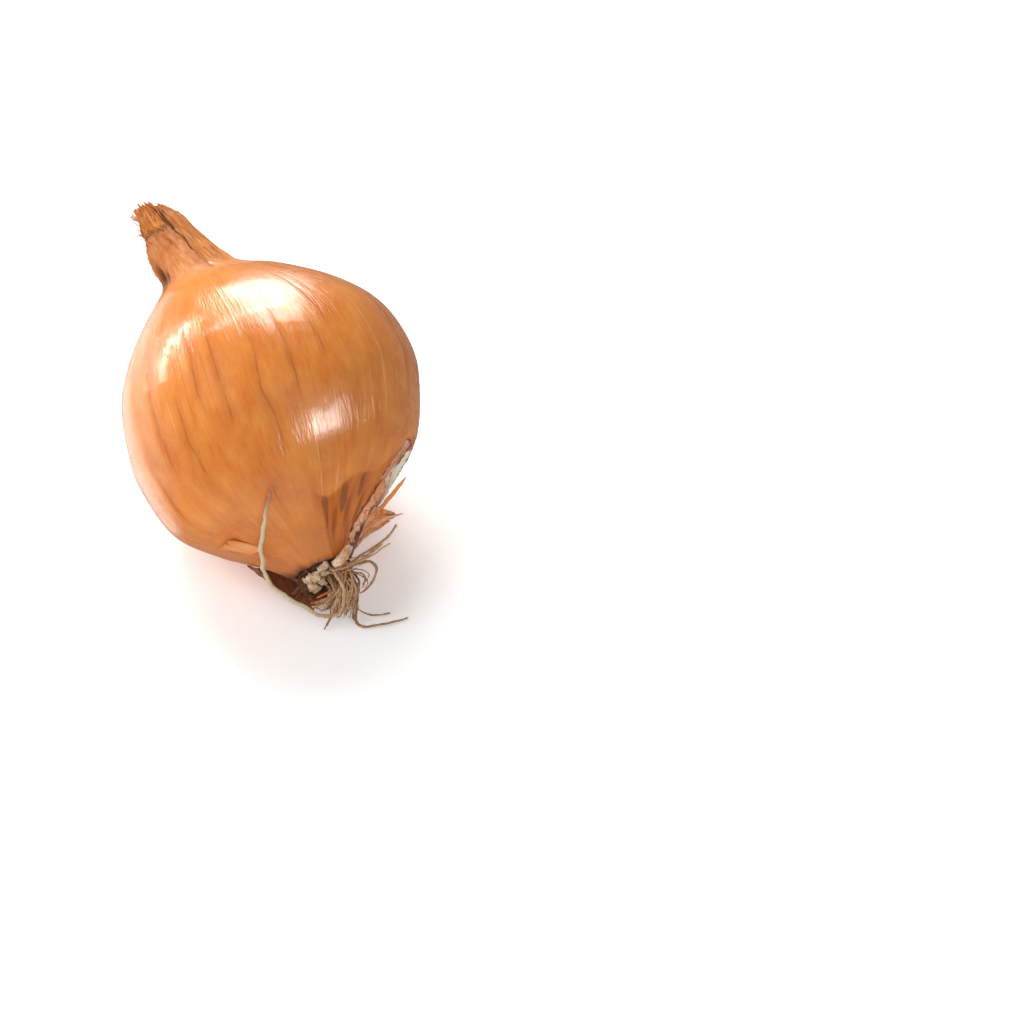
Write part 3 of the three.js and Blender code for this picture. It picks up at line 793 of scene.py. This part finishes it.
fibre_material, tree, shader = new_material("neck_fibre", roughness=0.7, gloss=0.15)
grain = noise_value(tree, 900, 3)
color = mix(tree, mark(tree, "tone"), (0.30, 0.08, 0.02), (0.85, 0.38, 0.13))
color = tint(tree, color, (0.55, 0.18, 0.045), grain, 0.4)
finish_look(tree, shader, color, grain, 0.3, 0.05)
finish_piece(bm, "neck_fibres", fibre_material, "neck_sheath")


# ---- Torn skin at the root end ----
# Corners of the outer skins that have cracked, dried and curled away where the roots pushed them apart.
torn_material, tree, shader = new_material(
    "torn_skin", roughness=0.5, gloss=0.25, coat=0.06, coat_roughness=0.3
)
lines = leaf_lines(tree, 70, 10, 0.5)
patches = mottle(tree, 220, 2.6)
color = mix(tree, patches, (0.92, 0.36, 0.13), (0.98, 0.60, 0.37))
color = tint(tree, color, (0.50, 0.15, 0.05), lines["Fine"], 0.35)
color = tint(tree, color, (0.40, 0.12, 0.04), mark(tree, "edge"), 0.4)
color = tint(tree, color, (0.92, 0.27, 0.018), mark(tree, "glow"), 0.85)
finish_look(tree, shader, color, calc(tree, "ADD", patches, lines["Fine"]), 0.5, 0.2)


def flap(name, node, steps, shape, glow=0.0, thickness=0.22, material=torn_material, slot="torn_skin"):
    bm = leaf_mesh(steps, shape)
    glow_mark = bm.verts.layers.float.new("glow")
    for vert in bm.verts:
        vert[glow_mark] = glow
    thicken(finish_piece(bm, name, material, slot, node), thickness)


def pointed_flap(across, along):
    """A narrow tongue that tapers to a sharp point and stands off the bulb."""
    wide = (1 - along) ** 0.7 * (1 + 0.45 * lumps(along * 7, 0, 2))
    angle = math.radians(-4 - 8 * along + (across - 0.5) * 22 * wide)
    height = (between(10.6, 15.6, along) + 1.2 * (across - 0.5) * wide) * MM
    lift = (0.2 + 4.2 * along**1.3 + 0.9 * (2 * across - 1) ** 2 * (1 - along)) * MM
    return on_bulb(angle, height, lift), angle, height


flap("flap_pointed", "skin_flap_pointed", (14, 36), pointed_flap, glow=1.0)


def side_flap(across, along):
    """A crumpled lobe that springs from beside the root plate, with a torn, spiked outer edge."""
    spread = (0.5 - across) * 7.4 * MM
    reach = (9.8 - rag(across * 3, 3.2, 21) - rag(across * 8, 2.4, 22) - 3.4 * (2 * across - 1) ** 2) * MM
    spike = math.exp(-(((across - 0.36) / 0.05) ** 2)) * 2.4 * MM
    place = on_bulb(math.radians(-20), 8.3 * MM + spread, 0.2 * MM)
    crumple = 1.5 * MM * lumps(across * 3, along * 2.5, 8) * ease(along, 0, 0.4)
    crumple += 0.75 * MM * lumps(across * 8, along * 8, 3)
    place.x += along * (reach + spike * along)
    place.z -= along * (0.4 * MM + 0.7 * spread)
    place.y += 2 * MM * along**2 - crumple
    angle = math.radians(-20 + 30 * (across - 0.5))
    return place, angle, (8 + 5 * along) * MM


flap("flap_side", "skin_flap_side", (60, 60), side_flap)


def front_flap(across, along):
    """The curled edge of the outer skin beside the bare patch."""
    wide = 0.25 + 0.85 * rag(along * 7, 1, 61)
    shift = 1.6 * lumps(along * 7, 0, 4)
    angle = math.radians(between(-43.5, -26, along**0.9) + shift + (across - 0.2) * 9 * wide)
    height = (between(7.2, 16.4, along) + (0.2 - across) * 2.6 * wide + 0.5 * shift) * MM
    lift = (0.10 + 0.9 * across * wide + 0.9 * lumps(along * 13, across * 3, 9)) * MM
    return on_bulb(angle, height, lift), angle, height


flap("flap_front", "skin_flap_front", (20, 90), front_flap)


def tear_flap(across, along):
    """A small lifted corner low on the left."""
    angle = math.radians(between(-146, -131, across) - 6 * along)
    height = (between(12.2, 17.2, along * (1 - rag(across * 3, 0.4, 31)))) * MM
    lift = (0.05 + 1.2 * along**2) * MM
    return on_bulb(angle, height, lift), angle, height


flap("flap_tear", "skin_flap_tear", (24, 24), tear_flap, glow=0.5)


def back_flap(across, along):
    """A broad torn lobe behind the root plate."""
    angle = math.radians(between(46, 86, across + 0.05 * lumps(along * 5, 3, 3)))
    height = between(5.5, 13.2 - rag(across * 3, 3, 41), along) * MM
    lift = (0.1 + 3.0 * along**1.6 + 0.5 * lumps(across * 7, along * 3, 6)) * MM
    return on_bulb(angle, height, lift), angle, height


flap("flap_back", "skin_flap_back", (40, 30), back_flap)

# The collar: an old brown skin that leaves the bulb's underside and sweeps down past the root plate. Its dark
# brown is partly the old skin's colour and partly painted shade under the bulb. Its free edge is given by
# turn, reach and height, in degrees and mm.
COLLAR_STEPS = 120
COLLAR_EDGE = [
    (112, 8.4, -2.4), (126, 8.8, -4), (142, 10.4, -3.2), (154, 13, 2.4), (168, 14, 7.2), (182, 14.8, 9.2),
]
COLLAR_RIM = smooth_line([
    Vector((reach * math.cos(math.radians(turn)), reach * math.sin(math.radians(turn)), height)) * MM
    for turn, reach, height in COLLAR_EDGE
], COLLAR_STEPS)


def collar(across, along):
    rim = COLLAR_RIM[round(across * COLLAR_STEPS)].copy()
    angle = math.atan2(rim.y, rim.x)
    away = Vector((math.cos(angle), math.sin(angle), -0.3))
    foot = on_bulb(angle, between(6.2, 11.8, across) * MM, 0.3 * MM)
    rim.z += rag(across * 5, 1.6 * MM, 51)
    belly = 1.8 * math.sqrt(1 - across) * math.sin(math.pi * along**0.8)
    belly += 0.5 * lumps(across * 8, along * 2, 4) * math.sin(math.pi * along) ** 0.5
    return rim.lerp(foot, along) + away * (belly + 0.25) * MM, angle, 10 * MM * along


collar_material, tree, shader = new_material(
    "old_skin_brown_and_shade", roughness=0.45, gloss=0.3, coat=0.1, coat_roughness=0.3
)
lines = leaf_lines(tree, 60, 8, 0.6)
patches = mottle(tree, 180, 2.6)
# Dark brown: partly the old skin's own colour, partly painted shade under the bulb.
color = mix(tree, patches, (0.21, 0.056, 0.024), (0.43, 0.135, 0.052))
color = tint(tree, color, (0.40, 0.125, 0.045), lines["Broad"], 0.6)
finish_look(tree, shader, color, calc(tree, "ADD", patches, lines["Fine"]), 0.5, 0.2)
flap(
    "collar", "root_collar", (COLLAR_STEPS + 1, 40), collar,
    material=collar_material, slot="old_skin", thickness=0.4,
)


# ---- The root plate ----
# A corky disc, the bulb's true stem. Cream stubs of broken roots stand on its left half, thin ridges of old
# scale edges run across it, and a fringe of dark dry scraps rings it.
ON_TABLE = LYING @ PLATE_FRAME
PLATE_FACE = PLATE_DEPTH / 2 + 0.3 * MM
cork_material, tree, shader = new_material("corky_plate", roughness=0.9, gloss=0.15)
crumbs = noise_value(tree, 2400, 6)
patches = mottle(tree, 420, 3)
color = mix(tree, patches, (0.045, 0.020, 0.010), (0.16, 0.075, 0.035))
color = tint(tree, color, (0.34, 0.22, 0.12), step_between(tree, crumbs, 0.55, 0.75))
finish_look(tree, shader, color, crumbs, 0.9, 0.4)
bm = bmesh.new()
bmesh.ops.create_uvsphere(bm, u_segments=120, v_segments=60, radius=1)
for vert in bm.verts:
    x, y, z = vert.co
    flatten = math.copysign(abs(z) ** 0.5, z)
    swell = 1 + 0.05 * noise.noise(Vector((x, y, 0)) * 3)
    reach = PLATE_RADIUS * math.hypot(x, y) ** 0.6 / max(math.hypot(x, y), 1e-9) * swell
    bumps = 0.45 * MM * noise.fractal(Vector((x, y, z)) * 5, 1.0, 2.2, 4)
    rings = 0.15 * MM * math.sin(34 * math.hypot(x, y) ** 0.6)
    place = Vector((x * reach, y * reach, flatten * PLATE_DEPTH / 2 + (bumps + rings if z < 0 else 0)))
    vert.co = ON_TABLE @ place
finish_piece(bm, "plate", cork_material, "root_plate", "root_plate")

stub_material, tree, shader = new_material("root_stub", roughness=0.75, gloss=0.15)
fibres = noise_value(tree, 2400, 5)
patches = mottle(tree, 500, 2.6)
color = mix(tree, patches, (0.48, 0.29, 0.16), (0.90, 0.70, 0.49))
color = tint(tree, color, (0.27, 0.14, 0.065), step_between(tree, fibres, 0.54, 0.74))
finish_look(tree, shader, color, fibres, 0.7, 0.25)


def knob(bm, across, up, radius, tall, lean=(0, 0), seed=0):
    """One broken root end: a rounded lump with a hollow, fibrous end."""
    lump = bmesh.new()
    bmesh.ops.create_uvsphere(lump, u_segments=20, v_segments=14, radius=1)
    for vert in lump.verts:
        x, y, z = vert.co
        swell = 0.92 + 0.28 * noise.noise(vert.co * 1.6 + Vector((seed, 0, 0)))
        swell += 0.12 * noise.noise(vert.co * 5)
        hollow = 0.35 * math.exp(-(x * x + y * y) * 5) if z < 0 else 0
        depth = -z * tall * swell - hollow * tall
        place = Vector((
            across * MM + x * radius * swell + lean[0] * depth,
            -up * MM + y * radius * swell + lean[1] * depth,
            -PLATE_FACE - depth - 0.4 * tall,
        ))
        vert.co = ON_TABLE @ place
    join_into(bm, lump)


# The larger stubs: across, up and radius, in mm.
STUBS = [
    (-1.6, 4.6, 1.3), (-1.2, 1.9, 1.15), (1, 5.6, 0.9), (0.9, 3.2, 0.95), (-3.6, 2.6, 1.05),
    (-3, -0.3, 0.95),
]
SMALL_STUBS = 34
for i, (across, up, radius) in enumerate(STUBS):
    bm = bmesh.new()
    knob(bm, across, up, radius * MM, radius * 1.1 * MM, seed=i * 3.1)
    finish_piece(bm, "knob_%d" % (i + 1), stub_material, "root_stub", "root_stub_%d" % (i + 1))
random.seed(11)
bm = bmesh.new()
for i in range(SMALL_STUBS):
    across, up = uniform(-4.4, 2.2), uniform(-1.4, 6.2)
    knob(
        bm, across, up, uniform(0.42, 0.85) * MM, uniform(0.5, 1.0) * MM,
        lean=(uniform(-0.3, 0.3), uniform(-0.3, 0.3)), seed=i * 1.7,
    )
finish_piece(bm, "small_knobs", stub_material, "root_stub")

# The stout cream root that climbs the bulb's side.
STOUT_ROUTE = [(3.6, -5.5, -3.6), (5.4, -6.0, -4.0), (7.6, -6.6, -3.9), (9.7, -7.2, -3.4)]
STOUT_STEPS = 24
bm = bmesh.new()
line = smooth_line([ON_TABLE @ (Vector(p) * MM) for p in STOUT_ROUTE], STOUT_STEPS)
radii = []
for k in range(STOUT_STEPS + 1):
    ends = math.sin(math.pi * (0.12 + 0.80 * k / STOUT_STEPS)) ** 0.4
    radii.append((1.15 + 0.15 * lumps(k * 0.4, 0, 0)) * MM * ends)
bent_rod(bm, line, radii, 20, flat=0.85)
for vert in bm.verts:
    vert.co += noise.noise_vector(vert.co / 0.0011) * 0.14 * MM
finish_piece(bm, "stout_root", stub_material, "root_stub", "root_stout")

# Ridges of old scale edges across the plate: across, up and how far they stand out, in mm.
scale_material, tree, shader = new_material("scale_edge", roughness=0.55, gloss=0.15)
grain = noise_value(tree, 1800, 4)
color = mix(tree, grain, (0.62, 0.11, 0.03), (0.78, 0.30, 0.13))
finish_look(tree, shader, color, grain, 0.4, 0.1)
RIDGE_STEPS = 30
RIDGES = [
    [(9.0, 10.2, 3.2), (7.6, 8.8, 3.9), (6.0, 7.4, 4.1), (4.4, 6.0, 3.8)],
    [(2.4, -2.0, 2.4), (0.2, -2.4, 2.6), (-1.7, -2.1, 2.2), (-4.4, -1.6, 1.6)],
    [(5.0, 3.2, 2.4), (4.0, 1.0, 3.0), (3.0, -0.6, 2.8)],
]
bm = bmesh.new()
for points in RIDGES:
    line = smooth_line([ON_TABLE @ (Vector((a, -u, -1.9 - tall)) * MM) for a, u, tall in points], RIDGE_STEPS)
    line = [p + noise.noise_vector(p / 0.0016) * 0.25 * MM for p in line]
    ends = [math.sin(math.pi * (0.06 + 0.88 * k / RIDGE_STEPS)) ** 0.5 for k in range(RIDGE_STEPS + 1)]
    bent_rod(bm, line, [0.34 * MM * end for end in ends], 8, flat=0.35)
finish_piece(bm, "scale_edges", scale_material, "old_skin")

# The fringe of dark scraps round the plate.
SCRAPS = 34
bm = bmesh.new()
for i in range(SCRAPS):
    turn = 2 * math.pi * i / SCRAPS + uniform(-0.12, 0.12)
    start = Vector((math.cos(turn), math.sin(turn), 0)) * (PLATE_RADIUS + uniform(-0.5, 0.5) * MM)
    start.z = -uniform(0.2, 1.0) * MM
    out = Vector((math.cos(turn), math.sin(turn), uniform(-0.5, 0.4))).normalized()
    side = Vector((-math.sin(turn), math.cos(turn), uniform(-0.3, 0.3)))
    reach, wide = uniform(0.9, 2.6) * MM, uniform(0.5, 1.1) * MM
    scrap = bmesh.new()
    bmesh.ops.create_grid(scrap, x_segments=4, y_segments=6, size=0.5)
    for vert in scrap.verts:
        along = vert.co.y + 0.5
        place = start + out * reach * along + side * wide * vert.co.x * 2 * (1 - along**1.5 * 0.85)
        place.z -= 0.35 * MM * math.sin(3 * along) + 0.3 * MM * lumps(vert.co.x * 3, along * 3, i)
        vert.co = ON_TABLE @ place
    bmesh.ops.solidify(scrap, geom=scrap.faces[:], thickness=0.12 * MM)
    join_into(bm, scrap)
fringe_material, tree, shader = new_material("dark_scrap", roughness=0.6, gloss=0.15)
grain = noise_value(tree, 600, 4)
color = mix(tree, grain, (0.05, 0.018, 0.01), (0.30, 0.11, 0.045))
finish_look(tree, shader, color, grain, 0.4, 0.15)
finish_piece(bm, "plate_fringe", fringe_material, "old_skin")


# ---- The dried roots ----
# Wiry brown roots that grew from the plate's lower right half, dried and shrunken into flat, wrinkled
# strings. Most hang in a skirt, some stray to the right, two lie on the table, and one long pale strand
# climbs back up the bulb.
THICK = 1.1
MIDDLE = 0.9

# Each root: its thickness, its place on the plate (across, up), how many thinner roots go with it and how
# far they stray, and its route, in mm.
ROUTES = {
    "root_sprig_1": (THICK, (5.2, 2.5), 3, 1.8, [
        (23, -30.6, 17.8), (27, -28, 18.8), (29.9, -25.3, 19.2), (31.8, -23.5, 21.2),
    ]),
    "root_sprig_2": (MIDDLE, (3.9, 2.8), 3, 1.8, [
        (22.2, -34.5, 19.4), (26, -32.6, 20.4), (29.8, -30, 21.4),
    ]),
    "root_loop_1": (MIDDLE, (5.8, 0.7), 2, 1.4, [
        (24, -31.5, 16.2), (26.4, -32.6, 14.4), (25.2, -34.8, 11.8), (22.6, -36.4, 10.6),
    ]),
    "root_loop_2": (MIDDLE, (3.7, 1.4), 3, 1.6, [
        (21.8, -35.2, 16.6), (23.8, -35.9, 15.2), (22.4, -37.6, 13.4),
    ]),
    "root_table_1": (THICK, (5, -1.3), 1, 1.0, [
        (21.4, -34.4, 10), (21.8, -35, 4.6), (21.9, -37, 1.8), (24, -38.4, 0.7), (29.4, -37.8, 0.7),
        (34.6, -35.3, 0.7),
    ]),
    "root_table_2": (MIDDLE, (4.2, -3.4), 1, 0.8, [
        (20.8, -32.6, 7), (21.4, -33.1, 3.6), (23.5, -34.2, 1.4), (26.8, -34.8, 0.6), (30.1, -34, 0.6),
    ]),
    "root_hanging_1": (THICK, (2.1, -2.4), 9, 2.0, [
        (17.9, -36.1, 9.4), (17.3, -36.3, 5.6), (16.7, -35.9, 1.8),
    ]),
    "root_hanging_2": (MIDDLE, (3.5, -1.2), 9, 2.0, [
        (19.9, -36.1, 11.6), (19.6, -36.5, 6.6), (18.9, -35.6, 2),
    ]),
    "root_hanging_3": (MIDDLE, (2.8, -4.9), 6, 2.0, [(18.9, -33.2, 6.4), (18.5, -33.2, 2.4)]),
    "root_hanging_4": (MIDDLE, (0.2, -4), 6, 2.0, [
        (15.6, -36.6, 8), (14.7, -36, 5), (13.1, -34.4, 2.2),
    ]),
    "root_swept_1": (THICK, (1.9, -0.5), 6, 1.5, [
        (16.4, -37.8, 12.4), (13.9, -39, 10.8), (10.6, -39.4, 9.6),
    ]),
    "root_swept_2": (MIDDLE, (0.6, -2.3), 6, 1.6, [
        (15, -38.1, 9.8), (12.7, -38, 8), (10.6, -36.8, 6.2),
    ]),
    "root_trailing": (MIDDLE, (1.3, -5.8), 1, 0.6, [
        (16.4, -33.2, 4.6), (15.6, -35, 1.8), (14.8, -37.4, 0.8), (14, -39.6, 0.6),
    ]),
}
STRAND = [
    (18.4, -38.8, 14.6), (18.3, -38.8, 8.4), (16.6, -38.6, 5), (13.3, -39, 5.4), (9.4, -39.2, 8),
    (5.4, -38.8, 11), (1.6, -38.2, 14), (-0.6, -37, 18), (-1.5, -37, 24), (-1.2, -37.8, 31),
    (-0.6, -37.9, 37), (0.1, -37.5, 41.8), (0.4, -36.9, 45),
]
ROOT_START = 2.5  # from the plate's middle plane
ROOT_NECK = 1.4  # each root leaves the plate square to its face for this far
ROOT_STEPS = 9  # from one point of the route to the next

# The skirt of thin roots, from its top down: left end, right end, front, how far its left end stands further
# out, stray, and lowest and highest, in mm.
SKIRT_ROOTS = 26
SKIRT = [
    (17.2, 22.4, -36.6, 1.4, 0.6, (12, 15)), (16.4, 21.6, -37.6, 0.8, 0.6, (7.5, 9)),
    (15.4, 20.4, -37.4, 0, 1, (3.5, 6)), (14.6, 19.2, -36.6, 0, 1, (0.8, 3)),
]

root_material, tree, shader = new_material("dry_root", roughness=0.72, gloss=0.15)
wrinkles = noise_value(tree, 1900, 4)
patches = mottle(tree, 300, 2.6)
color = mix(tree, mark(tree, "tone"), (0.31, 0.145, 0.062), (0.60, 0.36, 0.19))
color = tint(tree, color, (0.66, 0.44, 0.27), patches, 0.5)
color = tint(tree, color, (0.21, 0.09, 0.04), step_between(tree, wrinkles, 0.52, 0.72))
color = tint(tree, color, (0.62, 0.55, 0.37), mark(tree, "pale_root"), 0.8)
color = tint(tree, color, (0.42, 0.20, 0.13), mark(tree, "tip"))
finish_look(tree, shader, color, wrinkles, 0.8, 0.25)


def dried_root(bm, thick, start, route, seed, spread, shorten=1.0, pale=0.0):
    """One root, from its place on the plate along its route, strayed by spread and wandering as it dried."""
    across, up = start
    depths = (-ROOT_START + 0.8, -ROOT_START - ROOT_NECK)
    points = [ON_TABLE @ (Vector((across, -up, depth)) * MM) for depth in depths]
    for i, place in enumerate(route):
        stray = noise.noise_vector(Vector((seed * 7.3, i * 0.35, 1.7)))
        stray *= spread * (0.5 + i / len(route)) * 1.6
        points.append((Vector(place) + stray) * MM)
    line = smooth_line(points, ROOT_STEPS * (len(points) - 1))
    line = line[: max(4, round(len(line) * shorten))]
    count = len(line)
    radii = []
    for k, place in enumerate(line):
        wander = noise.noise_vector(place / 0.0045 + Vector((seed, 0, 0))) * 0.55 * MM
        wander += noise.noise_vector(place / 0.0018 + Vector((0, seed, 0))) * 0.16 * MM
        line[k] = place + wander * ease(k, 2, 8)
        shrink = 1 + 0.30 * lumps(k * 0.6, seed * 3.7, 0)
        taper = 1 - 0.45 * (k / count) ** 2
        if pale:
            taper *= 0.6 + 0.4 * ease(k / count, 0.15, 0.45)
        radii.append(thick / 2 * MM * shrink * taper)
        line[k].z = max(line[k].z, radii[k] * 0.7)
    radii[-1] *= 0.4
    tone, pale_root, tip = (bm.verts.layers.float[name] for name in ("tone", "pale_root", "tip"))
    shade = 0.5 + 0.5 * math.sin(seed * 12.9)
    for vert in bent_rod(bm, line, radii, 8, flat=0.62, twist=0.09 * math.sin(seed * 5.1)):
        vert[tone] = shade
        vert[pale_root] = pale * (1 - ease(vert.co.x, 8 * MM, 15 * MM))
        vert[tip] = pale * ease(vert.co.z, 36 * MM, 44 * MM)
        vert.co += noise.noise_vector(vert.co / 0.0009) * 0.05 * MM


def root_mesh():
    bm = bmesh.new()
    for name in ("tone", "pale_root", "tip"):
        bm.verts.layers.float.new(name)
    return bm


seed = 1
for name, (thick, start, siblings, spread, route) in ROUTES.items():
    bm = root_mesh()
    dried_root(bm, 0.8 * thick, start, route, seed, 0.25)
    for i in range(siblings):
        seed += 1
        random.seed(seed)
        near = (start[0] + uniform(-1.7, 1.7), start[1] + uniform(-1.7, 1.7))
        dried_root(bm, thick * uniform(0.36, 0.66), near, route, seed, spread, uniform(0.6, 1))
    seed += 1
    finish_piece(bm, name.replace("root_", "dry_"), root_material, "dry_root", name)
bm = root_mesh()
random.seed(23)
for i in range(SKIRT_ROOTS):
    share = i / (SKIRT_ROOTS - 1)
    start = (uniform(2.2, 6.4), uniform(-4, 3))
    route = [
        (between(left, right, share), front - bulge * (1 - share) + uniform(-stray, stray), uniform(*level))
        for left, right, front, bulge, stray, level in SKIRT
    ]
    dried_root(bm, uniform(0.40, 0.72), start, route, 100 + i, 0.5, uniform(0.7, 1))
finish_piece(bm, "dry_skirt", root_material, "dry_root")
bm = root_mesh()
dried_root(bm, 1.35, (2.6, 3.4), STRAND, 77, 0.1, pale=1.0)
finish_piece(bm, "dry_strand", root_material, "dry_root", "root_strand")
